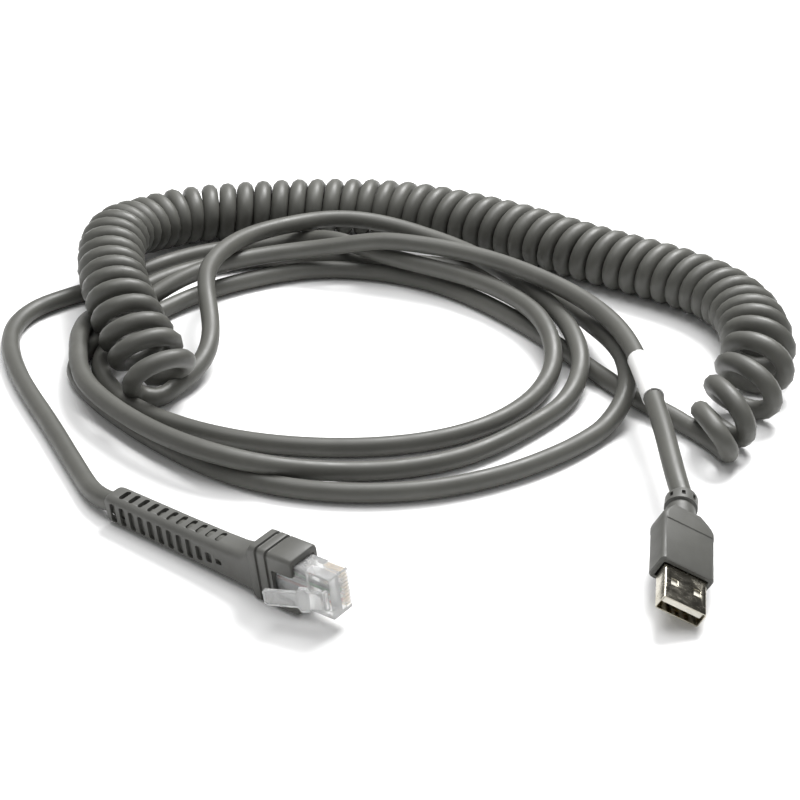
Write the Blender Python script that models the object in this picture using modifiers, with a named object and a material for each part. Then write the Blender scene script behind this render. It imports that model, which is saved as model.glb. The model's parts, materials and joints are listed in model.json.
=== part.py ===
"""Coiled interface cable of a handheld scanner, lying loosely coiled on a table.

A ten-contact modular plug with a long slotted boot, a round grey cord whose middle is a
curly section, a label round the cord, and a type A plug.  Lengths are in millimetres and
are scaled to metres where a mesh or a curve is made.  +Z is up and Z = 0 is the table.
Each plug is modelled in its own frame: +X towards its nose, +Z towards its latch or top.
"""
import math

import bmesh
import bpy
import numpy as np
from mathutils import Euler, Matrix, Vector

MM = 0.001
GAP = 0.3                       # left between pieces that touch in the real object

# ---- driving dimensions -------------------------------------------------------------
CORD_D = 5.6                    # round jacket
COIL_D = 20.0                   # outside of the curly section
CORD_R = CORD_D / 2

MOD_LENGTH = 21.5               # clear modular plug body
MOD_WIDTH = 11.7
MOD_HEIGHT = 6.9
CONTACTS = 10
CONTACT_PITCH = 1.02
WIRE_D = 0.9
WIRED = (2, 3, 5, 6)            # contacts that carry an insulated wire
DRAIN = 8                       # contact that carries the bare drain wire
HOOD_FRONT = -11.2              # boot: front edge of the hood, behind the nose
BOOT_END = -79.0                # boot: end of the slotted tail
SLOTS = 12
SLOT_PITCH = 3.3
LATCH_REACH = 15.6
LATCH_WIDTH = 4.5
LATCH_SHOULDERS = 7.0
LATCH_ANGLE = math.radians(23)
LATCH_PIVOT = Vector((-1.3, 0, 4.5))

USB_WIDTH = 12.0                # metal shell, outside
USB_HEIGHT = 4.5
USB_WALL = 0.3
USB_REACH = 12.0                # shell in front of its overmould
USB_END = -43.0                 # end of the overmould's neck

# Where each plug lies: its nose, then roll, pitch and yaw.
MIDDLE = Vector((-2.55, 4.2, 0))
MOD_NOSE = Vector((-14.1, -115.8, 9.9)) - MIDDLE
MOD_TURN = Euler((math.radians(95.5), math.radians(-3.8), math.radians(-40.1)))
USB_NOSE = Vector((67.5, -116.9, 5.6)) - MIDDLE
USB_TURN = Euler((math.radians(-28.3), math.radians(8.1), math.radians(-96.5)))

# ---- routes, through the middle of the cord -----------------------------------------
# From the boot: out to the left, behind, round once, then under the other loops to the
# right-hand end of the curly section.
LEAD_MOD = [
    (-79.3, -59.8, 3.7), (-84.5, -50, 2.9), (-91.5, -34, 2.9), (-99, -17, 2.9), (-107, 0.5, 2.9),
    (-114.5, 21, 2.9), (-117, 38, 2.9), (-112.5, 53, 2.9), (-100, 64.5, 2.9),
    (-85, 78, 2.9), (-70, 91, 2.9), (-53, 98.5, 2.9), (-37, 99, 4.6), (-23, 92.5, 8.9),
    (-10, 83.5, 9.0), (4, 74, 9.0), (18, 65.5, 9.0), (30, 55, 9.0), (39, 42, 9.0),
    (44, 27, 8.2), (44.5, 12, 5.2), (39, -2.5, 3.1), (28, -17, 2.9), (13, -27, 2.9),
    (-5, -32, 2.9), (-25, -32.3, 2.9), (-45, -28, 2.9), (-62.5, -19.5, 2.9),
    (-77, -7.5, 2.9), (-85, 6, 2.9), (-88, 18, 2.9), (-86.3, 29, 2.9), (-81.5, 40.5, 2.9),
    (-74, 51.5, 2.9), (-62.5, 64, 2.9), (-46, 75, 2.9), (-28, 81, 2.9), (-9, 79.5, 2.9),
    (9, 71.5, 2.9), (25, 57.5, 2.9), (40, 38.5, 2.9), (54.3, 16.4, 2.9), (69.7, -6.9, 2.9),
    (79.3, -19, 2.9)]

# From the left-hand end of the curly section: up over the loops, round twice, and over
# everything to the type A plug.
LEAD_USB = [
    (-70, -5.5, 3.2), (-64.5, -1, 3.8), (-59.5, 7, 5.0), (-56.5, 18, 7.0), (-56.5, 31, 10),
    (-58.5, 44, 13.4), (-58.7, 58, 14.8), (-54.5, 72, 14.9), (-46.5, 85.5, 13.8),
    (-35, 96, 12.5), (-20, 101.5, 12), (-5, 100, 10.8), (9, 94, 9.4), (22, 83, 9.0),
    (33, 68, 9.0), (41.5, 52.5, 9.0), (48, 37, 9.0), (51.5, 21.5, 9.0), (52.3, 9, 7.0),
    (48, -5, 3.6), (36, -21, 2.9), (19, -36.5, 2.9), (0, -44.3, 2.9), (-18, -47, 3.8),
    (-35, -49.5, 7.0), (-50, -46, 8.8), (-66, -35, 9.0), (-80, -20, 9.0), (-90.5, -4, 9.0),
    (-94.8, 12, 9.0), (-96, 26, 8.4), (-95, 40, 5.6), (-90, 54.5, 3.0), (-80, 69.5, 2.9),
    (-68, 81, 2.9), (-52, 88.5, 2.9), (-30, 90.8, 2.9), (-6, 88.3, 2.9), (12, 85.3, 2.9),
    (30, 79, 2.9), (41.5, 69, 3.6), (50.5, 53, 5.4), (57, 34.5, 7.6), (62, 20, 9.0),
    (65, 3, 9.0), (63.5, -10, 6.8), (57.5, -21, 3.4), (46, -34, 2.9), (29, -46.5, 2.9),
    (10, -54.5, 2.9), (-10, -57, 2.9), (-30, -54, 2.9), (-48, -45.5, 2.9),
    (-64, -32, 2.9), (-78, -16.5, 2.9), (-89.8, 0.5, 2.9), (-94.8, 14, 2.9),
    (-93, 27, 2.9), (-88.8, 40, 2.9), (-82, 51.5, 3.6), (-73, 60.5, 6.6), (-62, 69, 8.8),
    (-47, 78, 9.0), (-32, 82, 9.6), (-19, 80.5, 12), (-7, 78.5, 14.4), (5, 75, 15.1),
    (18, 69.5, 15.1), (30, 62, 15.1), (41, 52, 15.1), (50.5, 41, 15.1), (58, 29, 15.1),
    (64, 15, 15.2), (67.3, 0, 15.4), (69, -16, 15.1), (70.2, -33, 14.7), (70.8, -50, 14.2),
    (71.4, -64, 13.2)]

# Middle of the curly section, from its right-hand end to its left-hand end.
COIL_AXIS = [
    (86.7, -30, 10.2), (92.5, -17, 10.2), (98, -4, 10.2), (103, 9, 10.2), (105, 24, 10.2),
    (103, 40, 10.2), (95, 54.5, 10.2), (80, 67.5, 10.2), (58.5, 82, 10.2), (39, 96.5, 10.2),
    (22, 106.5, 10.2), (0, 115.5, 10.2), (-20, 117.5, 10.2), (-43, 116, 10.2),
    (-60, 113, 10.2), (-73, 108.5, 10.4), (-82.5, 100, 11.4), (-88, 89, 14.2),
    (-90, 74.5, 16.1), (-88.5, 57, 16.1), (-84, 37, 16.1), (-78.5, 19, 14.2),
    (-73.5, 6.5, 12.9), (-71.5, 1.3, 12.6)]


# ---- collections and materials ------------------------------------------------------
for old in list(bpy.data.objects):
    bpy.data.objects.remove(old)

PARTS = bpy.data.collections.new("coiled_scanner_cable")
CUTTERS = bpy.data.collections.new("cutters")
bpy.context.scene.collection.children.link(PARTS)
bpy.context.scene.collection.children.link(CUTTERS)


def material(name, colour, roughness, metallic=0.0):
    mat = bpy.data.materials.new(name)
    mat.use_nodes = True
    shader = mat.node_tree.nodes["Principled BSDF"]
    shader.inputs["Base Color"].default_value = (*colour, 1)
    shader.inputs["Roughness"].default_value = roughness
    shader.inputs["Metallic"].default_value = metallic
    return mat


GREY_JACKET = material("grey_jacket", (0.12, 0.12, 0.11), 0.5)
GREY_MOULD = material("grey_mould", (0.11, 0.11, 0.105), 0.55)
CLEAR = material("clear_plastic", (0.86, 0.88, 0.88), 0.12)
GOLD = material("gold_plate", (0.83, 0.61, 0.25), 0.25, 1.0)
NICKEL = material("nickel_plate", (0.62, 0.61, 0.57), 0.25, 1.0)
BLACK = material("black_plastic", (0.02, 0.02, 0.02), 0.5)
CREAM = material("cream_plastic", (0.8, 0.77, 0.69), 0.45)
WHITE = material("white_label", (0.85, 0.85, 0.84), 0.5)
BARE = material("tinned_wire", (0.7, 0.69, 0.66), 0.3, 1.0)
WIRE_COLOURS = {
    "red": material("wire_red", (0.45, 0.05, 0.04), 0.45),
    "white": material("wire_white", (0.75, 0.74, 0.72), 0.45),
    "green": material("wire_green", (0.05, 0.25, 0.08), 0.45),
    "black": material("wire_black", (0.02, 0.02, 0.02), 0.45),
}


# ---- shape helpers ------------------------------------------------------------------
def frame(name, place, turn):
    empty = bpy.data.objects.new(name, None)
    empty.location = place * MM
    empty.rotation_euler = turn
    empty.empty_display_size = 10 * MM
    PARTS.objects.link(empty)
    return empty


def finish(name, bm, mat, parent=None, collection=None, smooth=None):
    """Make bm, in millimetres, an object."""
    bmesh.ops.scale(bm, vec=(MM, MM, MM), verts=bm.verts)
    bmesh.ops.recalc_face_normals(bm, faces=bm.faces)
    mesh = bpy.data.meshes.new(name)
    bm.to_mesh(mesh)
    bm.free()
    obj = bpy.data.objects.new(name, mesh)
    (collection or PARTS).objects.link(obj)
    obj.parent = parent
    if mat:
        mesh.materials.append(mat)
    if smooth is not None:
        mesh.shade_smooth()
        mesh.set_sharp_from_angle(angle=math.radians(smooth))
    return obj


def add_box(bm, low, high):
    low, high = Vector(low), Vector(high)
    place = Matrix.Translation((low + high) / 2) @ Matrix.Diagonal((*(high - low), 1))
    bmesh.ops.create_cube(bm, size=1, matrix=place)


def box(name, low, high, mat, parent, bevel=0.0):
    bm = bmesh.new()
    add_box(bm, low, high)
    obj = finish(name, bm, mat, parent)
    if bevel:
        add_bevel(obj, bevel)
    return obj


def rod(name, start, end, radius, mat, parent, sides=16):
    """A cylinder along X."""
    bm = bmesh.new()
    turn = Matrix.Rotation(math.pi / 2, 4, "Y")
    place = Matrix.Translation(((start + end) / 2, 0, 0)) @ turn
    bmesh.ops.create_cone(bm, cap_ends=True, segments=sides, radius1=radius, radius2=radius,
                          depth=abs(end - start), matrix=place)
    return finish(name, bm, mat, parent, smooth=30)


def add_bevel(obj, width, segments=1):
    bevel = obj.modifiers.new("Bevel", "BEVEL")
    bevel.width = width * MM
    bevel.segments = segments
    bevel.limit_method = "ANGLE"


def cut(obj, cutter, name):
    cutter.display_type = "WIRE"
    cutter.hide_render = True
    boolean = obj.modifiers.new(name, "BOOLEAN")
    boolean.operation = "DIFFERENCE"
    boolean.solver = "EXACT"
    boolean.object = cutter


def cut_boxes(obj, boxes, name):
    """Cut boxes that don't meet each other, given by their low and high corners."""
    bm = bmesh.new()
    for low, high in boxes:
        add_box(bm, low, high)
    cut(obj, finish(name, bm, None, obj.parent, CUTTERS), name)


def rounded_section(half_width, half_height, radius, steps=3):
    """Points round a rounded rectangle, in (y, z)."""
    points = []
    for quarter, (sy, sz) in enumerate(((1, 1), (-1, 1), (-1, -1), (1, -1))):
        for step in range(steps + 1):
            angle = math.pi / 2 * (quarter + step / steps)
            points.append((sy * (half_width - radius) + radius * math.cos(angle),
                           sz * (half_height - radius) + radius * math.sin(angle)))
    return points


def loft(name, sections, mat, parent, smooth=35):
    """Skin rounded rectangles (x, half width, half height, corner radius) along X."""
    bm = bmesh.new()
    rings = []
    for x, half_width, half_height, radius in sections:
        outline = rounded_section(half_width, half_height, radius)
        rings.append([bm.verts.new((x, y, z)) for y, z in outline])
    for near, far in zip(rings, rings[1:]):
        for i in range(len(near)):
            j = (i + 1) % len(near)
            bm.faces.new((near[i], near[j], far[j], far[i]))
    bm.faces.new(rings[0])
    bm.faces.new(rings[-1])
    return finish(name, bm, mat, parent, smooth=smooth)


# ---- routes -------------------------------------------------------------------------
def smooth_path(points, spacing):
    """Points about spacing apart on the natural cubic spline through a route."""
    knots = np.array(points, float)
    count = len(knots)
    at = np.concatenate([[0], np.cumsum(np.linalg.norm(np.diff(knots, axis=0), axis=1))])
    step = np.diff(at)
    system = np.eye(count)
    bend = np.zeros((count, 3))
    for i in range(1, count - 1):
        system[i, i - 1:i + 2] = step[i - 1], 2 * (step[i - 1] + step[i]), step[i]
        bend[i] = 6 * ((knots[i + 1] - knots[i]) / step[i]
                       - (knots[i] - knots[i - 1]) / step[i - 1])
    second = np.linalg.solve(system, bend)
    wanted = np.linspace(0, at[-1], round(at[-1] / spacing) + 1)
    k = np.clip(np.searchsorted(at, wanted, side="right") - 1, 0, count - 2)
    left = (at[k + 1] - wanted)[:, None]
    right = (wanted - at[k])[:, None]
    span = step[k][:, None]
    return ((second[k] * left ** 3 + second[k + 1] * right ** 3) / (6 * span)
            + (knots[k] / span - second[k] * span / 6) * left
            + (knots[k + 1] / span - second[k + 1] * span / 6) * right)


def tube(name, points, radius, mat, resolution):
    curve = bpy.data.curves.new(name, "CURVE")
    curve.dimensions = "3D"
    curve.bevel_depth = radius * MM
    curve.bevel_resolution = resolution
    curve.use_fill_caps = True
    spline = curve.splines.new("POLY")
    spline.points.add(len(points) - 1)
    for vertex, point in zip(spline.points, points):
        vertex.co = (*(Vector(point) - MIDDLE) * MM, 1)
    obj = bpy.data.objects.new(name, curve)
    PARTS.objects.link(obj)
    curve.materials.append(mat)
    return obj


def to_mesh(obj, collection):
    """A tube as a mesh object, so that it can be cut or can cut."""
    graph = bpy.context.evaluated_depsgraph_get()
    mesh = bpy.data.meshes.new_from_object(obj.evaluated_get(graph))
    bm = bmesh.new()
    bm.from_mesh(mesh)
    bmesh.ops.remove_doubles(bm, verts=bm.verts, dist=0.00001)
    bmesh.ops.recalc_face_normals(bm, faces=bm.faces)
    bm.to_mesh(mesh)
    bm.free()
    solid = bpy.data.objects.new(obj.name + "_mesh", mesh)
    solid.matrix_world = obj.matrix_world
    collection.objects.link(solid)
    name = obj.name
    bpy.data.objects.remove(obj)
    solid.name = name
    return solid


# ---- modular plug -------------------------------------------------------------------
plug = frame("modular_plug_frame", MOD_NOSE, MOD_TURN)
half_w = MOD_WIDTH / 2
half_h = MOD_HEIGHT / 2
contact_y = [(i - (CONTACTS - 1) / 2) * CONTACT_PITCH for i in range(CONTACTS)]

housing = box("modular_housing", (-MOD_LENGTH, -half_w, -half_h), (0, half_w, half_h), CLEAR,
              plug, bevel=0.3)
cut_boxes(housing, [((-6.4, y - 0.36, -half_h - 1), (-0.7, y + 0.36, -1.5)) for y in contact_y],
          "contact_slots")
cut_boxes(housing, [((-8.5, -4.95, -1.6), (-1.1, 4.95, -0.2))], "wire_channel")
cut_boxes(housing, [((-MOD_LENGTH - 1, -4.95, -2.1), (-8.4, 4.95, 2.1))], "rear_cavity")
cut_boxes(housing, [((-15.5, -3.6, -half_h - 1), (-12.0, 3.6, -2.0))], "clamp_window")

for i, y in enumerate(contact_y):
    box(f"contact_{i + 1:02d}", (-6.1, y - 0.16, -3.3), (-1.0, y + 0.16, -1.75), GOLD, plug)

for i, colour in zip(WIRED, ("red", "white", "green", "black")):
    wire = rod(f"conductor_{colour}", -21.3, -1.4, WIRE_D / 2, WIRE_COLOURS[colour], plug, 10)
    wire.location = Vector((0, contact_y[i], -0.9)) * MM
drain = rod("drain_wire", -21.3, -1.4, WIRE_D / 3, BARE, plug, 10)
drain.location = Vector((0, contact_y[DRAIN], -0.9)) * MM

box("jacket_clamp_bar", (-15.2, -3.3, -3.2), (-12.3, 3.3, -1.6), CLEAR, plug, bevel=0.2)

# The latch is flat stock, wide at its shoulders, that slants up and back over the hood.
# Its origin is on the line about which it flexes, at the nose.
curve = bpy.data.curves.new("latch_outline", "CURVE")
curve.dimensions = "2D"
curve.fill_mode = "BOTH"
curve.extrude = 0.55 * MM
outline = curve.splines.new("POLY")
side = [(0.4, 2.6), (-4.2, 2.6), (-4.2, LATCH_SHOULDERS / 2), (-6.4, LATCH_SHOULDERS / 2),
        (-7.2, LATCH_WIDTH / 2), (-LATCH_REACH + 0.8, LATCH_WIDTH / 2),
        (-LATCH_REACH, LATCH_WIDTH / 2 - 0.8)]
corners = side + [(x, -y) for x, y in reversed(side)]
outline.points.add(len(corners) - 1)
for vertex, (x, y) in zip(outline.points, corners):
    vertex.co = (x * MM, y * MM, 0, 1)
outline.use_cyclic_u = True
flat = bpy.data.objects.new("latch_tab", curve)
PARTS.objects.link(flat)
latch = to_mesh(flat, PARTS)
latch.data.materials.append(CLEAR)
latch.parent = plug
latch.location = LATCH_PIVOT * MM
latch.rotation_euler = (0, LATCH_ANGLE, 0)
add_bevel(latch, 0.15)

boot = loft("boot_overmould", [
    (HOOD_FRONT, 7.9, 4.8, 1.3), (HOOD_FRONT - 0.5, 8.05, 4.97, 1.4),
    (-19.7, 8.05, 4.97, 1.4), (-19.9, 7.65, 4.6, 1.2), (-20.7, 7.65, 4.6, 1.2),
    (-20.9, 8.05, 4.97, 1.4), (-21.7, 8.05, 4.97, 1.4), (-21.9, 7.65, 4.6, 1.2),
    (-22.7, 7.65, 4.6, 1.2), (-22.9, 8.05, 4.97, 1.4), (-24.0, 8.0, 4.97, 1.4),
    (-28.0, 5.6, 4.65, 1.4), (-52, 5.0, 4.5, 1.5), (-78.2, 4.25, 4.2, 1.6),
    (BOOT_END, 3.9, 3.9, 1.6)], GREY_MOULD, plug)
cut_boxes(boot, [((-MOD_LENGTH - GAP, -half_w - GAP, -half_h - GAP),
                  (HOOD_FRONT + 1, half_w + GAP, half_h + GAP))], "plug_pocket")
cut_boxes(boot, [((-29.5, -4.0, -2.6), (-21.7, 4.0, 2.6))], "filler_pocket")
cut_boxes(boot, [((-18.4, -3.4, 3.4), (HOOD_FRONT + 1, 3.4, 6))], "latch_channel")
bore = rod("boot_bore", -29.4, BOOT_END - 1, CORD_R + GAP, None, plug)
PARTS.objects.unlink(bore)
CUTTERS.objects.link(bore)
cut(boot, bore, "bore")


def tail_half(x, wide):
    """Half size of the tail at x, across its width or its height."""
    near, far = (5.6, 4.25) if wide else (4.65, 4.2)
    return near + (far - near) * (-28.0 - x) / 50.2


face_slots = []
edge_slots = []
for i in range(SLOTS):
    x = -77.2 + SLOT_PITCH * i
    reach = 2.0 - 0.45 * max(0, i - SLOTS + 4)
    depth = 0.9
    z = tail_half(x, False)
    for sign in (1, -1):
        low, high = sorted((sign * (z - depth), sign * (z + 1)))
        face_slots.append(((x - 0.65, -reach, low), (x + 0.65, reach, high)))
    if i < SLOTS - 2:
        x += SLOT_PITCH / 2
        y = tail_half(x, True)
        for sign in (1, -1):
            low, high = sorted((sign * (y - depth), sign * (y + 1)))
            edge_slots.append(((x - 0.65, low, -1.9), (x + 0.65, high, 1.9)))
cut_boxes(boot, face_slots, "face_slots")
cut_boxes(boot, edge_slots, "edge_slots")

box("boot_filler_block", (-29.2, -3.7, -2.3), (-21.8 - 0.2, 3.7, 2.3), BLACK, plug, bevel=0.4)
rod("cord_inside_boot", -29.5, BOOT_END + 1.3, CORD_R, GREY_JACKET, plug)

# ---- type A plug --------------------------------------------------------------------
plug = frame("usb_plug_frame", USB_NOSE, USB_TURN)
half_w = USB_WIDTH / 2
half_h = USB_HEIGHT / 2

shell = box("usb_shell", (-18.7, -half_w, -half_h), (0, half_w, half_h), NICKEL, plug,
            bevel=0.35)
cut_boxes(shell, [((-20, -half_w + USB_WALL, -half_h + USB_WALL),
                   (1, half_w - USB_WALL, half_h - USB_WALL))], "shell_inside")
windows = [((-7.65, y - 0.95, sign * half_h - 1), (-5.35, y + 0.95, sign * half_h + 1))
           for y in (-3.2, 3.2) for sign in (1, -1)]
cut_boxes(shell, windows, "shell_windows")

tongue = box("usb_tongue", (-12.2, -5.35, -0.1), (-0.6, 5.35, 1.65), CREAM, plug, bevel=0.15)
strip_y = (-3.5, -1.0, 1.0, 3.5)
cut_boxes(tongue, [((-13, y - 0.8, -1), (-1.2, y + 0.8, 0.5)) for y in strip_y],
          "strip_grooves")
for i, y in enumerate(strip_y):
    box(f"usb_contact_{i + 1}", (-12.2, y - 0.5, -0.15), (-1.5, y + 0.5, 0.2), GOLD, plug)
box("usb_inner_mould", (-18.4, -5.35, -1.65), (-12.5, 5.35, 1.65), BLACK, plug, bevel=0.2)

overmould = loft("usb_overmould", [
    (-USB_REACH, 7.2, 3.5, 1.1), (-USB_REACH - 0.4, 7.45, 3.75, 1.3),
    (-28.2, 7.5, 3.75, 1.3), (-28.5, 7.5, 4.0, 1.4), (-30.5, 7.5, 4.0, 1.4),
    (-32.4, 6.6, 4.0, 1.6), (-34.2, 4.3, 3.9, 1.9), (-37.6, 4.0, 3.8, 1.9),
    (-37.8, 3.7, 3.6, 1.9), (-38.8, 3.7, 3.6, 1.9), (-39.0, 4.1, 4.0, 2.0),
    (-42.4, 4.0, 4.0, 2.0), (USB_END, 3.7, 3.7, 1.9)], GREY_MOULD, plug)
cut_boxes(overmould, [((-19.2, -half_w - GAP, -half_h - GAP),
                       (-USB_REACH + 1, half_w + GAP, half_h + GAP))], "shell_pocket")
bore = rod("neck_bore", -19.0, USB_END - 1, CORD_R + GAP, None, plug)
PARTS.objects.unlink(bore)
CUTTERS.objects.link(bore)
cut(overmould, bore, "bore")

ferrule = rod("crimp_ferrule", -24.5, -20.0, 2.6, NICKEL, plug)
bore = rod("ferrule_bore", -26, -19, 2.1, None, plug)
PARTS.objects.unlink(bore)
CUTTERS.objects.link(bore)
cut(ferrule, bore, "bore")
for i, colour in enumerate(("red", "white", "green", "black")):
    wire = rod(f"usb_wire_{colour}", -24.6, -18.7, WIRE_D / 2, WIRE_COLOURS[colour], plug, 10)
    angle = math.pi / 2 * (i + 0.5)
    wire.location = Vector((0, 1.0 * math.cos(angle), 1.0 * math.sin(angle))) * MM
rod("cord_inside_usb_plug", -24.9, USB_END + 1.0, CORD_R, GREY_JACKET, plug)

# ---- cord ---------------------------------------------------------------------------
bpy.context.view_layer.update()
boot_exit = Matrix.LocRotScale(MOD_NOSE + MIDDLE, MOD_TURN, None) @ Vector((BOOT_END - GAP, 0, 0))
usb_exit = Matrix.LocRotScale(USB_NOSE + MIDDLE, USB_TURN, None) @ Vector((USB_END - GAP, 0, 0))
lead_mod = smooth_path([boot_exit] + LEAD_MOD, 2.8 * CORD_D)
lead_usb = smooth_path(LEAD_USB + [usb_exit], 2.8 * CORD_D)
tube("lead_modular_side", lead_mod, CORD_R, GREY_JACKET, 2)
tube("lead_usb_side", lead_usb, CORD_R, GREY_JACKET, 2)
tube("curly_section", smooth_path(COIL_AXIS, 0.65 * COIL_D), COIL_D / 2, GREY_JACKET, 4)

# The label is a sleeve round the three stretches of cord nearest to the plug's own side of
# the crossing, so its points are the cord's own.
first = int(np.argmin(np.linalg.norm(lead_usb - np.array([68.3, -5, 15.3]), axis=1)))
along = lead_usb[first:first + 3]
label = to_mesh(tube("label_wrap", along, CORD_R + 0.75, WHITE, 4), PARTS)
ends = [2 * along[0] - along[1], 2 * along[-1] - along[-2]]
inside = to_mesh(tube("label_bore", [ends[0], *along, ends[1]], CORD_R + 0.5, WHITE, 4), CUTTERS)
cut(label, inside, "bore")
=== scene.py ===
"""Looks of a coiled interface cable: a matte grey cord with a curly section, a clear modular
plug in a long slotted boot, and a type A plug in a moulded grip.

Lengths are in metres.  Each plug is modelled in its own frame, with +X towards its nose and
+Z towards its latch or top, and is then put in its place on the table.
"""
import json
import math

import bmesh
import bpy
import numpy as np
from mathutils import Euler, Matrix, Vector


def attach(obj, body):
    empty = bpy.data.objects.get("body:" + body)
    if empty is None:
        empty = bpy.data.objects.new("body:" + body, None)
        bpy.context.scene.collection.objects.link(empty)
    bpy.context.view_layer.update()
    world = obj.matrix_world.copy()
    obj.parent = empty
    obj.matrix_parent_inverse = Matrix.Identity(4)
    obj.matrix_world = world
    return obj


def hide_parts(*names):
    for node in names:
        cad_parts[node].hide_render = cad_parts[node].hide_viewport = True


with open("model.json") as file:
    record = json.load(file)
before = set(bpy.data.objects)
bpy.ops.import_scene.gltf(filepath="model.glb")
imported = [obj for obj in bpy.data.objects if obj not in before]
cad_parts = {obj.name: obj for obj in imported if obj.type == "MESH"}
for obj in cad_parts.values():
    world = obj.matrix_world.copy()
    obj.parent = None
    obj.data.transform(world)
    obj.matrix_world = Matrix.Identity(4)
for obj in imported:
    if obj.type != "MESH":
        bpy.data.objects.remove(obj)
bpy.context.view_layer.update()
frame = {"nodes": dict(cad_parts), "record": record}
bpy.ops.object.select_all(action="DESELECT")

# ---- sizes --------------------------------------------------------------------------
CORD_D = 0.0056
CORD_SIDES = 16
CORD_STEP = 0.0022              # between rings of the cord's skin
TABLE_GAP = 0.0001              # the route is held this far clear of the table
MM = 0.001

MOD_PLACE = Matrix.LocRotScale(
    Vector((-0.01155, -0.12, 0.0099)),
    Euler((math.radians(95.5), math.radians(-3.8), math.radians(-40.1))), None)
USB_PLACE = Matrix.LocRotScale(
    Vector((0.07005, -0.1211, 0.0056)),
    Euler((math.radians(-28.3), math.radians(8.1), math.radians(-96.5))), None)
BOOT_EXIT = MOD_PLACE @ Vector((-0.0793, 0, 0))
USB_EXIT = USB_PLACE @ Vector((-0.0433, 0, 0))

# ---- routes, through the middle of the cord -----------------------------------------
# From the boot: out to the left, behind, round once, then under the other loops to the
# right-hand end of the curly section.
LEAD_MOD = [
    (-0.07675, -0.064, 0.0037), (-0.08195, -0.0542, 0.0029), (-0.08895, -0.0382, 0.0029),
    (-0.09645, -0.0212, 0.0029), (-0.10445, -0.0037, 0.0029), (-0.11195, 0.0168, 0.0029),
    (-0.11445, 0.0338, 0.0029), (-0.10995, 0.0488, 0.0029), (-0.09745, 0.0603, 0.0029),
    (-0.08245, 0.0738, 0.0029), (-0.06745, 0.0868, 0.0029), (-0.05045, 0.0943, 0.0029),
    (-0.03445, 0.0948, 0.0046), (-0.02045, 0.0883, 0.0089), (-0.00745, 0.0793, 0.009),
    (0.00655, 0.0698, 0.009), (0.02055, 0.0613, 0.009), (0.03255, 0.0508, 0.009),
    (0.04155, 0.0378, 0.009), (0.04655, 0.0228, 0.0082), (0.04705, 0.0078, 0.0052),
    (0.04155, -0.0067, 0.0031), (0.03055, -0.0212, 0.0029), (0.01555, -0.0312, 0.0029),
    (-0.00245, -0.0362, 0.0029), (-0.02245, -0.0365, 0.0029), (-0.04245, -0.0322, 0.0029),
    (-0.05995, -0.0237, 0.0029), (-0.07445, -0.0117, 0.0029), (-0.08245, 0.0018, 0.0029),
    (-0.08545, 0.0138, 0.0029), (-0.08375, 0.0248, 0.0029), (-0.07895, 0.0363, 0.0029),
    (-0.07145, 0.0473, 0.0029), (-0.05995, 0.0598, 0.0029), (-0.04345, 0.0708, 0.0029),
    (-0.02545, 0.0772, 0.0029), (-0.0061, 0.076, 0.0029), (0.0121, 0.0681, 0.0029),
    (0.0281, 0.0541, 0.0029), (0.043, 0.0348, 0.0029), (0.05685, 0.0122, 0.0029),
    (0.07225, -0.0111, 0.0029), (0.08185, -0.0232, 0.0029),
]

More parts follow.
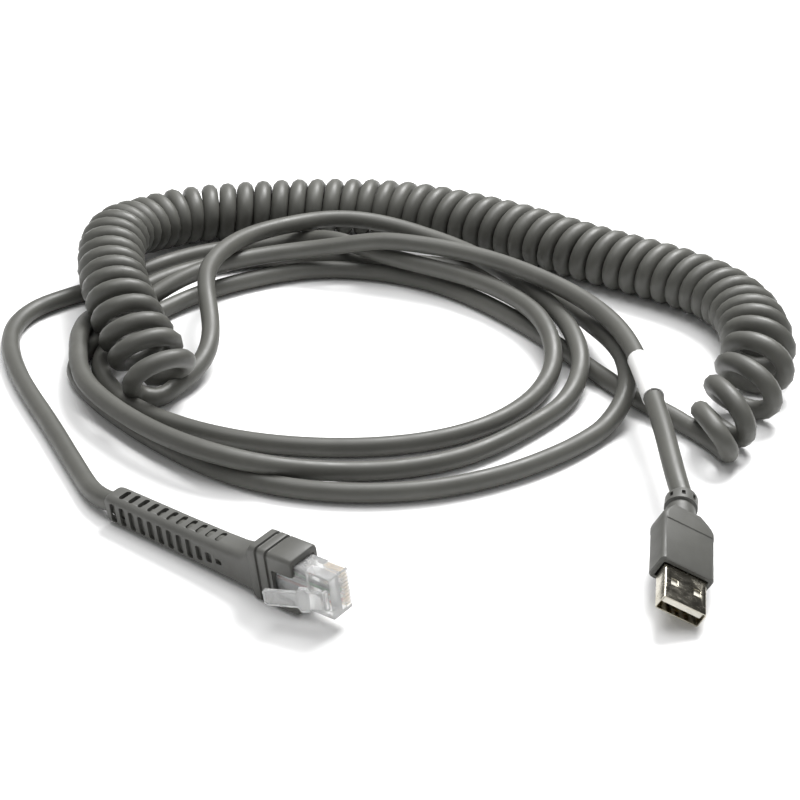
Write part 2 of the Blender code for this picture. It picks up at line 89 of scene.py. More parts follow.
LEAD_USB = [
    (-0.0718, -0.0089, 0.0045), (-0.0674, -0.0085, 0.003), (-0.0628, -0.0036, 0.0032),
    (-0.0574, 0.0038, 0.005),
    (-0.05395, 0.0138, 0.007), (-0.05395, 0.0268, 0.01), (-0.05595, 0.0398, 0.0134),
    (-0.05615, 0.0538, 0.0148), (-0.05195, 0.0678, 0.0149), (-0.04395, 0.0813, 0.0138),
    (-0.03245, 0.0918, 0.0125), (-0.01745, 0.0973, 0.012), (-0.00245, 0.0958, 0.0108),
    (0.0113, 0.0892, 0.0094), (0.0242, 0.0779, 0.009), (0.0351, 0.063, 0.009),
    (0.04405, 0.0483, 0.009), (0.05055, 0.0328, 0.009), (0.05405, 0.0173, 0.009),
    (0.05485, 0.0048, 0.007), (0.05055, -0.0092, 0.0036), (0.03855, -0.0252, 0.0029),
    (0.02155, -0.0407, 0.0029), (0.00255, -0.0485, 0.0029), (-0.01545, -0.0512, 0.0038),
    (-0.03245, -0.0537, 0.007), (-0.04745, -0.0502, 0.0088), (-0.06345, -0.0392, 0.009),
    (-0.07745, -0.0242, 0.009), (-0.0872, -0.0082, 0.009), (-0.091, 0.0078, 0.009),
    (-0.0922, 0.0218, 0.0084), (-0.0917, 0.0358, 0.0056), (-0.08745, 0.0503, 0.003),
    (-0.07745, 0.0653, 0.0029), (-0.06545, 0.0768, 0.0029), (-0.04945, 0.0843, 0.0029),
    (-0.02745, 0.0866, 0.0029), (-0.00345, 0.0841, 0.0029), (0.01455, 0.0811, 0.0029),
    (0.03255, 0.0748, 0.0029), (0.04405, 0.0648, 0.0036), (0.05305, 0.0488, 0.0054),
    (0.05955, 0.0303, 0.0076), (0.06455, 0.0158, 0.009), (0.06755, -0.0012, 0.009),
    (0.06605, -0.0142, 0.0068), (0.06005, -0.0252, 0.0034), (0.04855, -0.0382, 0.0029),
    (0.03155, -0.0507, 0.0029), (0.01255, -0.0587, 0.0029), (-0.00745, -0.0612, 0.0029),
    (-0.02745, -0.0582, 0.0029), (-0.04545, -0.0497, 0.0029), (-0.06145, -0.0362, 0.0029),
    (-0.07545, -0.0207, 0.0029), (-0.08725, -0.0037, 0.0029), (-0.09225, 0.0098, 0.0029),
    (-0.09045, 0.0228, 0.0029), (-0.08625, 0.0358, 0.0029), (-0.07945, 0.0473, 0.0036),
    (-0.07045, 0.0563, 0.0066), (-0.05945, 0.0648, 0.0088), (-0.04445, 0.0738, 0.009),
    (-0.02945, 0.0778, 0.0096), (-0.01645, 0.0763, 0.012), (-0.00445, 0.0743, 0.0144),
    (0.00755, 0.0708, 0.0151), (0.02055, 0.0653, 0.0151), (0.03255, 0.0578, 0.0151),
    (0.04355, 0.0478, 0.0151), (0.05305, 0.0368, 0.0151), (0.06055, 0.0248, 0.0151),
    (0.0662, 0.0108, 0.0152), (0.0693, -0.0042, 0.0154), (0.0711, -0.0202, 0.0151),
    (0.0725, -0.0372, 0.0147), (0.07335, -0.0542, 0.0142), (0.07395, -0.0682, 0.0132),
]

COIL_AXIS = [
    (0.0895, -0.0342, 0.0102), (0.0969, -0.0212, 0.0102), (0.1022, -0.0087, 0.0102),
    (0.1061, 0.0048, 0.0102), (0.10755, 0.0198, 0.0102), (0.10555, 0.0358, 0.0102),
    (0.09755, 0.0503, 0.0102), (0.08255, 0.0633, 0.0102), (0.06105, 0.0778, 0.0102),
    (0.04155, 0.0923, 0.0102), (0.02455, 0.1023, 0.0102), (0.00255, 0.1113, 0.0102),
    (-0.01745, 0.1133, 0.0102), (-0.04045, 0.1118, 0.0102), (-0.05745, 0.1088, 0.0102),
    (-0.07045, 0.1043, 0.0104), (-0.07995, 0.0958, 0.0114), (-0.08545, 0.0848, 0.0142),
    (-0.08745, 0.0703, 0.0161), (-0.08595, 0.0528, 0.0161), (-0.08145, 0.0328, 0.0161),
    (-0.0758, 0.0158, 0.0142), (-0.071, 0.0043, 0.0129), (-0.0679, -0.0029, 0.0126),
]


# The curly section's own turns, by distance along its middle from the right-hand end:
# (distance, pitch), (distance, half width of a turn), (distance, half height of a turn)
# (distance, how far a turn's plane is swung round, in degrees) and (distance, how far a turn
# leans towards the coil's nearer end, in degrees).
PITCH = [(0, 0.0135), (0.022, 0.0165), (0.036, 0.0148), (0.046, 0.011), (0.056, 0.009),
         (0.064, 0.0062), (0.096, 0.0062), (0.11, 0.00585), (0.291, 0.00585), (0.3, 0.0069),
         (0.351, 0.0069), (0.36, 0.008), (0.37, 0.0092), (0.385, 0.0098), (0.389, 0.0075),
         (0.41, 0.007)]
HALF_WIDTH = [(0, 0.0084), (0.012, 0.0088), (0.03, 0.009), (0.07, 0.0078), (0.355, 0.0078),
              (0.375, 0.0083),
              (0.392, 0.0089), (0.41, 0.0087)]
HALF_HEIGHT = [(0, 0.0052), (0.006, 0.0064), (0.014, 0.0072), (0.04, 0.007),
               (0.07, 0.0064), (0.355, 0.0064), (0.38, 0.0068), (0.41, 0.0068)]
SWING = [(0, -40), (0.014, -25), (0.03, -16), (0.08, 0), (0.35, 0), (0.375, 10), (0.39, 14),
         (0.4, 3), (0.41, 2)]
LEAN = [(0, 28), (0.015, 32), (0.03, 28), (0.05, 16), (0.08, 0), (0.3, 0), (0.34, 10),
        (0.37, 22), (0.39, 32), (0.41, 35)]
TURN_STEPS = 24
START_TURN = 0.16               # where on its first, flattened turn the lead comes in
REVERSE_AT = 0.3945             # the winding changes hand once, near the left-hand end
REVERSE_EASE = 0.05
REVERSE_STEP = 0.0025
REVERSE_WIDTH = 0.07            # of a turn
AXIS_ABOVE_TABLE = 0.0073
HEADING_SPAN = 0.004            # either side of a point, to find which way the middle heads
LAST_TURN = 0.80


def smooth_path(points, spacing):
    """Points about spacing apart on the natural cubic spline through a route."""
    knots = np.array(points, float)
    count = len(knots)
    at = np.concatenate([[0], np.cumsum(np.linalg.norm(np.diff(knots, axis=0), axis=1))])
    step = np.diff(at)
    system = np.eye(count)
    bend = np.zeros((count, 3))
    for i in range(1, count - 1):
        system[i, i - 1:i + 2] = step[i - 1], 2 * (step[i - 1] + step[i]), step[i]
        bend[i] = 6 * ((knots[i + 1] - knots[i]) / step[i]
                       - (knots[i] - knots[i - 1]) / step[i - 1])
    second = np.linalg.solve(system, bend)
    wanted = np.linspace(0, at[-1], round(at[-1] / spacing) + 1)
    k = np.clip(np.searchsorted(at, wanted, side="right") - 1, 0, count - 2)
    left = (at[k + 1] - wanted)[:, None]
    right = (wanted - at[k])[:, None]
    span = step[k][:, None]
    return ((second[k] * left ** 3 + second[k + 1] * right ** 3) / (6 * span)
            + (knots[k] / span - second[k] * span / 6) * left
            + (knots[k + 1] / span - second[k + 1] * span / 6) * right)


def measure(points):
    """Distance along a path at each of its points."""
    return np.concatenate([[0], np.cumsum(np.linalg.norm(np.diff(points, axis=0), axis=1))])


def look_up(table, at):
    return np.interp(at, [row[0] for row in table], [row[1] for row in table])


def curly_turns():
    """Points along the cord through every turn of the curly section."""
    axis = smooth_path(COIL_AXIS, 0.001)
    along = measure(axis)
    grid = np.linspace(0, REVERSE_AT, 3000)
    turns = 0.5 + np.concatenate(
        [[0], np.cumsum(np.diff(grid) / look_up(PITCH, grid[1:]))])
    whole = round(turns[-1])
    turns = 0.5 + (turns - 0.5) * (whole - 0.5) / (turns[-1] - 0.5)
    last_pitch = look_up(PITCH, REVERSE_AT)
    count = round((whole + LAST_TURN - START_TURN) * TURN_STEPS)
    turn = START_TURN + np.arange(count + 1) / TURN_STEPS

    # distance along the middle, eased so that the pitch changes gently
    spread = np.linspace(-0.2, 0.2, 9)
    ahead = np.clip(turn[:, None] + spread - whole, 0, None) * last_pitch
    at = (np.interp(turn[:, None] + spread, turns, grid) + ahead).mean(axis=1)
    past = turn - whole
    at = at + REVERSE_STEP * np.tanh(past / REVERSE_WIDTH)
    angle = 2 * math.pi * (whole - (np.sqrt(past ** 2 + REVERSE_EASE ** 2) - REVERSE_EASE))

    start_slope = (axis[1] - axis[0]) / along[1]
    end_slope = (axis[-1] - axis[-2]) / (along[-1] - along[-2])
    middle = np.stack([np.interp(at, along, axis[:, i]) for i in range(3)], axis=1)
    middle += np.clip(at, None, 0)[:, None] * start_slope
    middle += np.clip(at - along[-1], 0, None)[:, None] * end_slope
    inside = np.clip(at, HEADING_SPAN, along[-1] - HEADING_SPAN)
    nearby = [np.stack([np.interp(inside + d, along, axis[:, i]) for i in range(3)], axis=1)
              for d in (-HEADING_SPAN, HEADING_SPAN)]
    heading = np.arctan2(nearby[1][:, 1] - nearby[0][:, 1], nearby[1][:, 0] - nearby[0][:, 0])
    side = heading - math.pi / 2 + np.radians(look_up(SWING, at))
    half_width = look_up(HALF_WIDTH, at)
    half_height = look_up(HALF_HEIGHT, at)
    out = half_width * np.sin(angle)
    lean = np.radians(look_up(LEAN, at)) * np.where(at < 0.2, 1, -1)
    up = -half_height * np.cos(angle)
    over = -up * np.sin(lean)
    ahead_x, ahead_y = np.cos(side + math.pi / 2), np.sin(side + math.pi / 2)
    floor = middle[:, 2] - AXIS_ABOVE_TABLE
    return np.stack([middle[:, 0] + out * np.cos(side) + over * ahead_x,
                     middle[:, 1] + out * np.sin(side) + over * ahead_y,
                     floor + (half_height + up) * np.cos(lean)], axis=1)


# ---- camera, table and light --------------------------------------------------------
def place_camera():
    data = bpy.data.cameras.new("camera")
    data.lens = 100.1
    data.sensor_width = 36
    data.clip_start = 0.01
    camera = bpy.data.objects.new("camera", data)
    camera.location = (0.00255, -0.5669, 0.3055)
    camera.rotation_euler = (math.radians(61.5), 0, 0)
    bpy.context.scene.collection.objects.link(camera)
    bpy.context.scene.camera = camera


def area_light(name, place, aim, size, power, colour=(1, 1, 1)):
    data = bpy.data.lights.new(name, "AREA")
    data.shape = "DISK"
    data.size = size
    data.energy = power
    data.color = colour
    lamp = bpy.data.objects.new(name, data)
    lamp.location = place
    lamp.rotation_euler = (Vector(place) - Vector(aim)).to_track_quat("Z", "Y").to_euler()
    bpy.context.scene.collection.objects.link(lamp)


def white_table():
    bpy.ops.mesh.primitive_plane_add(size=6, location=(0, 0, 0))
    table = bpy.context.object
    table.name = "table"
    paint = bpy.data.materials.new("white_table")
    paint.use_nodes = True
    shader = paint.node_tree.nodes["Principled BSDF"]
    shader.inputs["Base Color"].default_value = (0.9, 0.9, 0.9, 1)
    shader.inputs["Roughness"].default_value = 0.85
    shader.inputs["Specular IOR Level"].default_value = 0.1
    table.data.materials.append(paint)


# The studio is unlit behind and to the right, which the plug shell's top reflects.
DARK_SIDE = (0.645, 0.621, 0.441)


def studio():
    scene = bpy.context.scene
    scene.view_settings.view_transform = "Standard"
    world = bpy.data.worlds.new("studio")
    world.use_nodes = True
    background = world.node_tree.nodes["Background"]
    nodes, links = world.node_tree.nodes, world.node_tree.links
    towards = nodes.new("ShaderNodeVectorMath")
    towards.operation = "DOT_PRODUCT"
    towards.inputs[1].default_value = DARK_SIDE
    links.new(nodes.new("ShaderNodeTexCoord").outputs["Generated"], towards.inputs[0])
    fade = nodes.new("ShaderNodeMapRange")
    fade.interpolation_type = "SMOOTHSTEP"
    fade.inputs["From Min"].default_value = 0.7
    fade.inputs["From Max"].default_value = 0.95
    fade.inputs["To Min"].default_value = 1.0
    fade.inputs["To Max"].default_value = 0.12
    links.new(towards.outputs["Value"], fade.inputs["Value"])
    links.new(fade.outputs["Result"], background.inputs["Color"])
    background.inputs["Strength"].default_value = 0.44
    scene.world = world
    area_light("key", (0.3, 0.6, 0.9), (0, 0, 0), 0.55, 19.0)
    area_light("top", (-0.15, 0.1, 1.1), (0, 0, 0), 0.8, 7.0)


place_camera()
white_table()
studio()


# ---- finishes -----------------------------------------------------------------------
class Finish:
    """A material being built: its shader, and short ways to add nodes on Object coordinates."""

    def __init__(self, name, colour, roughness, metallic=0.0):
        self.material = bpy.data.materials.new(name)
        self.material.use_nodes = True
        self.nodes = self.material.node_tree.nodes
        self.links = self.material.node_tree.links
        self.shader = self.nodes["Principled BSDF"]
        self.set("Base Color", (*colour, 1))
        self.set("Roughness", roughness)
        self.set("Metallic", metallic)
        self.place = self.nodes.new("ShaderNodeTexCoord").outputs["Object"]

    def set(self, socket, value):
        self.shader.inputs[socket].default_value = value

    def stretched(self, scale, turn=(0, 0, 0)):
        mapping = self.nodes.new("ShaderNodeMapping")
        mapping.inputs["Scale"].default_value = scale
        mapping.inputs["Rotation"].default_value = turn
        self.links.new(self.place, mapping.inputs["Vector"])
        return mapping.outputs["Vector"]

    def noise(self, scale, detail=3.0, roughness=0.55, place=None):
        node = self.nodes.new("ShaderNodeTexNoise")
        node.inputs["Scale"].default_value = scale
        node.inputs["Detail"].default_value = detail
        node.inputs["Roughness"].default_value = roughness
        self.links.new(place or self.place, node.inputs["Vector"])
        return node.outputs["Fac"]

    def between(self, value, low, high, low_at=0.3, high_at=0.7):
        node = self.nodes.new("ShaderNodeMapRange")
        node.inputs["From Min"].default_value = low_at
        node.inputs["From Max"].default_value = high_at
        node.inputs["To Min"].default_value = low
        node.inputs["To Max"].default_value = high
        self.links.new(value, node.inputs["Value"])
        return node.outputs["Result"]

    def mix(self, value, first, second):
        node = self.nodes.new("ShaderNodeMix")
        node.data_type = "RGBA"
        self.links.new(value, node.inputs["Factor"])
        for socket, colour in ((node.inputs["A"], first), (node.inputs["B"], second)):
            if isinstance(colour, tuple):
                socket.default_value = (*colour, 1)
            else:
                self.links.new(colour, socket)
        return node.outputs["Result"]

    def drive(self, socket, output):
        self.links.new(output, self.shader.inputs[socket])

    def bumps(self, *heights):
        """heights: (output, strength, depth in metres), finest last."""
        normal = None
        for value, strength, depth in heights:
            node = self.nodes.new("ShaderNodeBump")
            node.inputs["Strength"].default_value = strength
            node.inputs["Distance"].default_value = depth
            self.links.new(value, node.inputs["Height"])
            if normal:
                self.links.new(normal, node.inputs["Normal"])
            normal = node.outputs["Normal"]
        self.links.new(normal, self.shader.inputs["Normal"])


def soft_jacket():
    """Matte flexible jacket, faintly mottled, with a fine grain and a few paler scuffs."""
    f = Finish("soft_grey_jacket", (0.1, 0.1, 0.09), 0.46)
    mottle = f.between(f.noise(60, 3), 0, 1)
    body = f.mix(mottle, (0.074, 0.074, 0.066), (0.092, 0.092, 0.082))
    grain = f.noise(2600, 2, 0.6)
    scuff = f.between(f.noise(420, 4, 0.7), 0, 0.35, 0.62, 0.8)
    f.drive("Base Color", f.mix(scuff, body, (0.13, 0.13, 0.118)))
    f.drive("Roughness", f.between(f.noise(150, 4), 0.4, 0.54))
    f.set("Specular IOR Level", 0.42)
    f.bumps((f.noise(90, 2), 0.25, 0.00015), (grain, 0.3, 0.00004))
    return f.material


def moulded_grip():
    """Semi-matt moulded grip with a fine spark-eroded texture."""
    f = Finish("moulded_grey", (0.1, 0.1, 0.09), 0.5)
    body = f.mix(f.between(f.noise(90, 3), 0, 1), (0.082, 0.082, 0.075), (0.098, 0.098, 0.09))
    rubbed = f.between(f.noise(700, 3, 0.65), 0, 0.3, 0.62, 0.8)
    f.drive("Base Color", f.mix(rubbed, body, (0.13, 0.13, 0.12)))
    f.drive("Roughness", f.between(f.noise(260, 3), 0.44, 0.56))
    f.set("Specular IOR Level", 0.4)
    f.bumps((f.noise(400, 2), 0.15, 0.00006), (f.noise(3600, 2, 0.6), 0.35, 0.00004))
    return f.material


def clear_polycarbonate():
    """Water-clear plastic with flow lines and a few fine scratches."""
    f = Finish("clear_polycarbonate", (0.97, 0.975, 0.97), 0.05)
    f.set("Transmission Weight", 0.78)
    f.set("IOR", 1.49)
    scratch = f.noise(900, 4, 0.7, f.stretched((1, 6, 1)))
    f.drive("Roughness", f.between(scratch, 0.03, 0.13))
    f.bumps((f.noise(160, 2), 0.15, 0.00008), (f.noise(1500, 2), 0.12, 0.00002))
    return f.material


def bright_plate(name, colour, darker, low, high):
    """Plated sheet with brushed streaks and a little tarnish."""
    f = Finish(name, colour, 0.22, 1.0)
    streak = f.noise(700, 4, 0.65, f.stretched((0.12, 1, 1), (0, 0, math.radians(6))))
    f.drive("Base Color", f.mix(f.between(f.noise(240, 4), 0, 1, 0.35, 0.75), colour, darker))
    f.drive("Roughness", f.between(streak, low, high))
    f.bumps((streak, 0.12, 0.00002), (f.noise(2600, 2), 0.08, 0.00001))
    return f.material


def plain_moulding(name, colour, roughness):
    """Hard injection-moulded plastic, faintly uneven in colour and gloss."""
    f = Finish(name, colour, roughness)
    shade = tuple(c * 0.86 for c in colour)
    f.drive("Base Color", f.mix(f.between(f.noise(300, 3), 0, 1), colour, shade))
    f.drive("Roughness", f.between(f.noise(900, 3), roughness - 0.07, roughness + 0.08))
    f.bumps((f.noise(1800, 2), 0.2, 0.00002))
    return f.material


def label_film():
    """Satin white film, creased a little where it wraps, with a trace of handling."""
    f = Finish("label_film_white", (0.7, 0.7, 0.69), 0.42)
    worn = f.between(f.noise(500, 4, 0.65), 0, 0.5, 0.6, 0.85)
    f.drive("Base Color", f.mix(worn, (0.7, 0.7, 0.69), (0.52, 0.52, 0.5)))
    f.drive("Roughness", f.between(f.noise(250, 3), 0.34, 0.52))
    f.bumps((f.noise(220, 2, 0.5, f.stretched((1, 0.35, 1))), 0.35, 0.00012),
            (f.noise(2400, 2), 0.15, 0.00002))
    return f.material


JACKET = soft_jacket()
MOULD = moulded_grip()
CLEAR = clear_polycarbonate()
GOLD = bright_plate("gold_plated", (0.87, 0.63, 0.27), (0.62, 0.42, 0.17), 0.12, 0.3)
NICKEL = bright_plate("nickel_plated", (0.5, 0.475, 0.41), (0.36, 0.335, 0.27), 0.14, 0.32)
TINNED = bright_plate("tinned_copper", (0.72, 0.7, 0.66), (0.5, 0.48, 0.45), 0.2, 0.4)
BLACK = plain_moulding("black_insulator", (0.02, 0.02, 0.02), 0.45)
CREAM = plain_moulding("cream_insulator", (0.82, 0.79, 0.7), 0.4)
LABEL = label_film()
WIRE_RED = plain_moulding("red_insulation", (0.5, 0.07, 0.055), 0.4)
WIRE_WHITE = plain_moulding("white_insulation", (0.78, 0.76, 0.73), 0.4)
WIRE_GREEN = plain_moulding("green_insulation", (0.06, 0.28, 0.1), 0.4)
WIRE_BLACK = plain_moulding("black_insulation", (0.025, 0.025, 0.025), 0.4)

SLOT_FINISH = {
    "grey_jacket": JACKET, "grey_mould": MOULD, "clear_plastic": CLEAR, "gold_plate": GOLD,
    "nickel_plate": NICKEL, "black_plastic": BLACK, "cream_plastic": CREAM,
    "white_label": LABEL, "tinned_wire": TINNED, "wire_red": WIRE_RED,
    "wire_white": WIRE_WHITE, "wire_green": WIRE_GREEN, "wire_black": WIRE_BLACK}


# ---- shapes -------------------------------------------------------------------------
def into_mesh(name, obj):
    """Turn a curve into a mesh at the origin."""
    bpy.ops.object.select_all(action="DESELECT")
    bpy.context.view_layer.objects.active = obj
    obj.select_set(True)
    bpy.ops.object.convert(target="MESH")
    piece = bpy.context.object
    piece.name = name
    return piece


def clean(piece, smooth=35):
    """Merge doubles, point every face outwards and smooth the shallow edges."""
    bm = bmesh.new()
    bm.from_mesh(piece.data)
    bmesh.ops.remove_doubles(bm, verts=bm.verts, dist=0.000002)
    bmesh.ops.recalc_face_normals(bm, faces=bm.faces)
    bm.to_mesh(piece.data)
    bm.free()
    bpy.ops.object.select_all(action="DESELECT")
    bpy.context.view_layer.objects.active = piece
    piece.select_set(True)
    bpy.ops.object.shade_smooth_by_angle(angle=math.radians(smooth))


def tube(name, points, radius, finish, sides=CORD_SIDES):
    """A closed round tube through the points."""
    data = bpy.data.curves.new(name, "CURVE")
    data.dimensions = "3D"
    data.bevel_depth = radius
    data.bevel_resolution = sides // 4 - 1
    data.use_fill_caps = True
    line = data.splines.new("POLY")
    line.points.add(len(points) - 1)
    for vertex, point in zip(line.points, points):
        vertex.co = (*point, 1)
    data.materials.append(finish)
    obj = bpy.data.objects.new(name, data)
    bpy.context.scene.collection.objects.link(obj)
    piece = into_mesh(name, obj)
    clean(piece, 60)
    return piece


# ---- shaping by hand operators ------------------------------------------------------
def select_only(piece):
    bpy.ops.object.select_all(action="DESELECT")
    bpy.context.view_layer.objects.active = piece
    piece.select_set(True)


def drawn_out(name, sections, corner, finish=None, corner_steps=4):
    """A rounded bar drawn out along X, or a round one where corner is None.  Each section is
    (x, half width, half height, sideways shift), in millimetres."""
    bpy.ops.object.select_all(action="DESELECT")
    x, half_y, half_z, shift = sections[0]
    if corner is None:
        bpy.ops.mesh.primitive_circle_add(vertices=32, radius=1, fill_type="NGON",
                                          rotation=(0, math.pi / 2, 0))
    else:
        bpy.ops.mesh.primitive_plane_add(size=2, rotation=(0, math.pi / 2, 0))
    piece = bpy.context.object
    piece.name = name
    bpy.ops.object.transform_apply(location=True, rotation=True, scale=True)
    bpy.ops.object.mode_set(mode="EDIT")
    bpy.ops.mesh.select_all(action="SELECT")
    bpy.ops.transform.resize(value=(1, half_y * MM, half_z * MM), center_override=(0, 0, 0))
    if corner is not None:
        bpy.ops.mesh.bevel(offset=corner * MM, affect="VERTICES", segments=corner_steps)
    bpy.ops.mesh.select_all(action="SELECT")
    bpy.ops.transform.translate(value=(x * MM, shift * MM, 0))
    for near, far in zip(sections, sections[1:]):
        step = ((far[0] - near[0]) * MM, (far[3] - near[3]) * MM, 0)
        bpy.ops.mesh.extrude_region_move(TRANSFORM_OT_translate={"value": step})
        middle = (far[0] * MM, far[3] * MM, 0)
        bpy.ops.transform.resize(value=(1, far[1] / near[1], far[2] / near[2]),
                                 center_override=middle)
    bpy.ops.mesh.select_all(action="SELECT")
    bpy.ops.mesh.normals_make_consistent(inside=False)
    bpy.ops.object.mode_set(mode="OBJECT")
    if finish:
        piece.data.materials.append(finish)
    return piece


def block(name, low, high, rounding, axis=None, steps=3):
    """A box between two corners, in millimetres, with its edges (or those along one axis)
    rounded."""
    bpy.ops.object.select_all(action="DESELECT")
    low, high = Vector(low) * MM, Vector(high) * MM
    bpy.ops.mesh.primitive_cube_add(size=1, location=(low + high) / 2)
    piece = bpy.context.object
    piece.name = name
    piece.scale = high - low
    bpy.ops.object.transform_apply(location=True, rotation=True, scale=True)
    edges = piece.data.edges
    corners = piece.data.vertices
    chosen = []
    for edge in edges:
        run = corners[edge.vertices[0]].co - corners[edge.vertices[1]].co
        chosen.append(axis is None or abs(run["xyz".index(axis)]) > 0.000001)
    bpy.ops.object.mode_set(mode="EDIT")
    bpy.ops.mesh.select_all(action="DESELECT")
    bpy.ops.mesh.select_mode(type="EDGE")
    bpy.ops.object.mode_set(mode="OBJECT")
    for edge, wanted in zip(piece.data.edges, chosen):
        edge.select = wanted
    bpy.ops.object.mode_set(mode="EDIT")
    bpy.ops.mesh.bevel(offset=rounding * MM, segments=steps, affect="EDGES")
    bpy.ops.object.mode_set(mode="OBJECT")
    return piece


def copied(piece, shift, stretch=(1, 1, 1)):
    """A copy of a piece with its own mesh, moved (in millimetres) and resized in place."""
    select_only(piece)
    bpy.ops.object.duplicate(linked=False)
    twin = bpy.context.object
    bpy.ops.object.mode_set(mode="EDIT")
    bpy.ops.mesh.select_all(action="SELECT")
    bpy.ops.transform.resize(value=stretch, center_override=(0, 0, 0))
    bpy.ops.transform.translate(value=Vector(shift) * MM)
    bpy.ops.object.mode_set(mode="OBJECT")
    return twin


def joined(pieces):
    select_only(pieces[0])
    for piece in pieces:
        piece.select_set(True)
    bpy.ops.object.join()
    return bpy.context.object


def carve(piece, cutter, operation="DIFFERENCE"):
    """Take one shape out of another, or weld it on."""
    select_only(piece)
    cut = piece.modifiers.new("carve", "BOOLEAN")
    cut.operation = operation
    cut.solver = "EXACT"
    cut.object = cutter
    bpy.ops.object.modifier_apply(modifier=cut.name)
    bpy.data.objects.remove(cutter)


def soften(piece, width, segments=2, angle=30):
    """Round every edge that is sharper than angle."""
    select_only(piece)
    bevel = piece.modifiers.new("soften", "BEVEL")
    bevel.width = width * MM
    bevel.segments = segments
    bevel.limit_method = "ANGLE"
    bevel.angle_limit = math.radians(angle)
    bevel.harden_normals = False
    bpy.ops.object.modifier_apply(modifier=bevel.name)


def put(piece, place, body, slot, *nodes):
    """Put a piece that was modelled in its plug's frame in its place on the table."""
    select_only(piece)
    piece.matrix_world = place
    bpy.ops.object.transform_apply(location=True, rotation=True, scale=True)
    clean(piece)
    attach(piece, body)
    if nodes:
        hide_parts(*nodes)
    return piece


def round_bore(radius, start, end):
    """A round cutter along X, in millimetres."""
    bpy.ops.object.select_all(action="DESELECT")
    bpy.ops.mesh.primitive_cylinder_add(
        vertices=32, radius=radius * MM, depth=abs(end - start) * MM,
        location=((start + end) / 2 * MM, 0, 0), rotation=(0, math.pi / 2, 0))
    bpy.ops.object.transform_apply(location=True, rotation=True, scale=True)
    return bpy.context.object


# ---- boot ---------------------------------------------------------------------------
BOOT_SECTIONS = [
    (-11.2, 7.85, 4.75, 0), (-11.6, 8.05, 4.97, 0), (-18.7, 8.05, 4.97, 0),
    (-18.85, 7.5, 4.45, 0), (-19.65, 7.5, 4.45, 0), (-19.8, 8.05, 4.97, 0),
    (-22.0, 8.05, 4.97, 0), (-22.15, 7.5, 4.45, 0), (-22.95, 7.5, 4.45, 0),
    (-23.1, 8.05, 4.97, 0), (-25.0, 8.0, 4.9, 0), (-26.0, 7.3, 4.6, -0.3)]
BODY_SECTIONS = [
    (-25.0, 7.0, 4.4, -0.3), (-26.6, 6.6, 4.4, -0.8), (-28.2, 5.8, 4.25, -1.5),
    (-30.0, 5.2, 4.1, -1.9), (-34, 4.9, 3.95, -2.0), (-40, 4.75, 3.85, -1.8),
    (-52, 4.5, 3.75, -1.3), (-65, 4.3, 3.7, -0.6), (-77.6, 4.15, 3.65, 0),
    (-78.5, 4.0, 3.55, 0), (-79, 3.6, 3.3, 0)]
SLOT_PITCH = 3.45
FIRST_SLOT = -75.9


def boot_at(x):
    """Half width, half height and sideways shift of the boot at x."""
    rows = sorted(BODY_SECTIONS)
    xs = [row[0] for row in rows]
    return [float(np.interp(x, xs, [row[i] for row in rows])) for i in (1, 2, 3)]


def make_boot():
    boot = drawn_out("slotted_boot", BOOT_SECTIONS, 1.3, MOULD)
    carve(boot, drawn_out("slotted_body", BODY_SECTIONS, 2.9, MOULD, 8), "UNION")
    carve(boot, block("pocket", (-21.8, -6.15, -3.75), (-9, 6.15, 3.75), 0.4))
    carve(boot, block("latch_recess", (-18.0, -3.4, 2.6), (-9, 3.4, 7), 0.5, "z"))
    carve(boot, round_bore(3.1, -72, -82))
    slot = block("slot", (-1.0, -2.75, -1.2), (1.0, 2.75, 1.2), 0.7, "z", 4)
    edge_slot = block("edge_slot", (-0.8, -1.5, -1.9), (0.8, 1.5, 1.9), 0.7, "y", 4)
    cutters = []
    for i in range(12):
        x = FIRST_SLOT + SLOT_PITCH * i
        _, half_z, shift = boot_at(x)
        reach = 1 - 0.24 * max(0, i - 8)
        for sign in (1, -1):
            cutters.append(copied(slot, (x, shift, sign * (half_z + 0.2)), (1, reach, 1)))
        if i < 11:
            x += SLOT_PITCH / 2
            half_y, _, shift = boot_at(x)
            for sign in (1, -1):
                cutters.append(copied(edge_slot, (x, shift + sign * (half_y + 0.2), 0)))
    bpy.data.objects.remove(slot)
    bpy.data.objects.remove(edge_slot)
    carve(boot, joined(cutters))
    soften(boot, 0.18)
    return put(boot, MOD_PLACE, "cable", "grey_mould", "boot_overmould")


# ---- latch --------------------------------------------------------------------------
LATCH_OUTLINE = [(-0.75, 2.6), (-3.9, 2.6), (-4.2, 3.5), (-6.3, 3.5), (-7.0, 2.25),
                 (-15.0, 2.25), (-15.6, 1.8)]


def make_latch():
    """A flat clear tab with square shoulders and a raised rim, that slants over the hood."""
    half_thick = 0.55
    sections = [(x, half_width, half_thick, 0) for x, half_width in LATCH_OUTLINE]
    latch = drawn_out("clear_latch", sections, 0.2, CLEAR, 2)
    carve(latch, block("thumb_face", (-14.9, -1.65, 0.3), (-7.3, 1.65, 1.5), 0.3, "z"))
    soften(latch, 0.12)
    tilt = Matrix.Translation(Vector((-1.3, 0, 4.5)) * MM) @ Matrix.Rotation(
        math.radians(23), 4, "Y")
    put(latch, MOD_PLACE @ tilt, "latch", "clear_plastic", "latch_tab")
    root = block("latch_root", (-1.85, -2.6, 3.2), (-0.75, 2.6, 5.0), 0.5, "y", 4)
    root.data.materials.append(CLEAR)
    put(root, MOD_PLACE, "cable", "clear_plastic")
    return latch, root


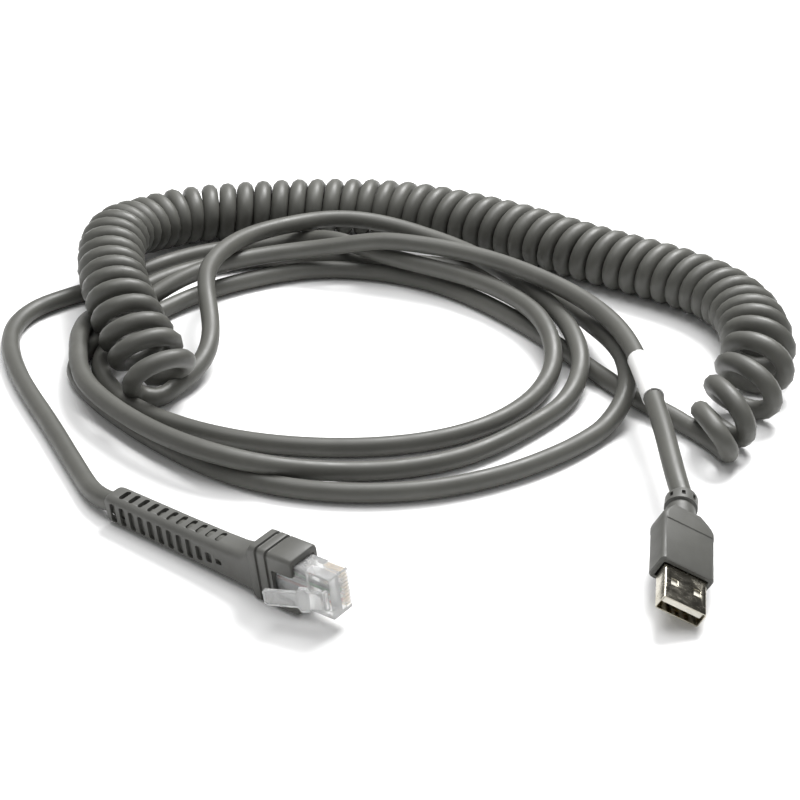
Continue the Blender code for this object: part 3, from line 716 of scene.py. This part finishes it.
# ---- type A plug --------------------------------------------------------------------
GRIP_SECTIONS = [
    (-12, 7.15, 3.45, 0), (-12.5, 7.5, 3.75, 0), (-27.4, 7.5, 3.75, 0),
    (-27.7, 7.5, 4.0, 0), (-29.6, 7.45, 4.0, 0), (-30.8, 7.0, 4.0, -0.1),
    (-32.6, 5.4, 3.98, -0.4), (-33.8, 4.3, 3.9, -0.6), (-34.6, 3.4, 3.3, -0.6)]
NECK_SECTIONS = [(-31, 3.4, 3.4, -0.5), (-33, 3.9, 3.9, -0.6), (-37.3, 3.9, 3.9, -0.6),
                 (-37.6, 3.5, 3.5, -0.6), (-38.3, 3.5, 3.5, -0.55), (-38.6, 4.35, 4.2, -0.5),
                 (-42.1, 4.3, 4.15, -0.3), (-42.8, 3.9, 3.9, -0.2), (-43, 3.5, 3.5, -0.2)]


def make_grip():
    grip = drawn_out("plug_grip", GRIP_SECTIONS, 1.2, MOULD)
    carve(grip, drawn_out("neck", NECK_SECTIONS, None), "UNION")
    carve(grip, block("shell_pocket", (-19.2, -6.3, -2.55), (-9, 6.3, 2.55), 0.3))
    carve(grip, round_bore(3.1, -38.9, -46))
    notch = block("notch", (-0.9, -0.5, -0.55), (0.9, 0.5, 0.55), 0.3, "z", 3)
    cutters = []
    for i in range(8):
        angle = math.pi / 4 * (i + 0.5)
        twin = copied(notch, (0, 0, 4.0))
        bpy.ops.object.mode_set(mode="EDIT")
        bpy.ops.mesh.select_all(action="SELECT")
        bpy.ops.transform.rotate(value=angle, orient_axis="X", center_override=(0, 0, 0))
        bpy.ops.transform.translate(value=(-0.0405, -0.0004, 0))
        bpy.ops.object.mode_set(mode="OBJECT")
        cutters.append(twin)
    bpy.data.objects.remove(notch)
    carve(grip, joined(cutters))
    soften(grip, 0.16)
    return put(grip, USB_PLACE, "cable", "grey_mould", "usb_overmould")


def make_shell():
    """Folded sheet, open at its mouth, with two windows in each wide side."""
    shell = block("plug_shell", (-18.7, -6, -2.25), (0, 6, 2.25), 0.55, "x", 4)
    inside = block("inside", (-20, -5.7, -1.95), (2, 5.7, 1.95), 0.32, "x", 4)
    carve(shell, inside)
    windows = [block("window", (-7.65, y - 0.95, -3), (-5.35, y + 0.95, 3), 0.15, "z", 2)
               for y in (-3.2, 3.2)]
    carve(shell, joined(windows))
    soften(shell, 0.07)
    shell.data.materials.append(NICKEL)
    return put(shell, USB_PLACE, "cable", "nickel_plate", "usb_shell")


LABEL_START = -0.0065            # where the film starts and ends along Y
LABEL_END = -0.0305
LABEL_SEARCH = 0.15              # it is on this last length of the cord


def make_label(line):
    """A blank film wrapped once and a half round the cord."""
    last_stretch = line[-round(LABEL_SEARCH / CORD_STEP):]
    along = last_stretch[(last_stretch[:, 1] < LABEL_START) & (last_stretch[:, 1] > LABEL_END)]
    under = tube("label_film", along, 0.00305, LABEL, 32)
    over = tube("label_flap", along, 0.00317, LABEL, 32)
    select_only(over)
    bpy.ops.object.mode_set(mode="EDIT")
    bpy.ops.mesh.select_all(action="SELECT")
    middle = Vector(along[len(along) // 2])
    bpy.ops.mesh.bisect(plane_co=middle + Vector((-0.0008, 0, 0)), plane_no=(0.995, 0.1, 0),
                        use_fill=True, clear_outer=False, clear_inner=True)
    bpy.ops.object.mode_set(mode="OBJECT")
    label = joined([under, over])
    label.name = "blank_label"
    clean(label)
    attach(label, "cable")
    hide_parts("label_wrap")
    return label


# ---- cord ---------------------------------------------------------------------------
turns = curly_turns()
route = np.concatenate([[BOOT_EXIT], LEAD_MOD, turns, LEAD_USB, [USB_EXIT]])
cord_line = smooth_path(route, CORD_STEP)
cord_line[:, 2] = np.maximum(cord_line[:, 2], CORD_D / 2 + TABLE_GAP)
cord = tube("grey_cord", cord_line, CORD_D / 2, JACKET)
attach(cord, "cable")
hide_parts("lead_modular_side", "curly_section", "lead_usb_side")

boot = make_boot()
latch, latch_root = make_latch()
grip = make_grip()
shell = make_shell()
label = make_label(cord_line)

# Pieces that keep their own shape take the finish of their slot.
slot_of = {part["node"]: part["material_slot"] for part in frame["record"]["subparts"]}
for name, node in frame["nodes"].items():
    for slot in node.material_slots:
        slot.material = SLOT_FINISH[slot_of[name]]
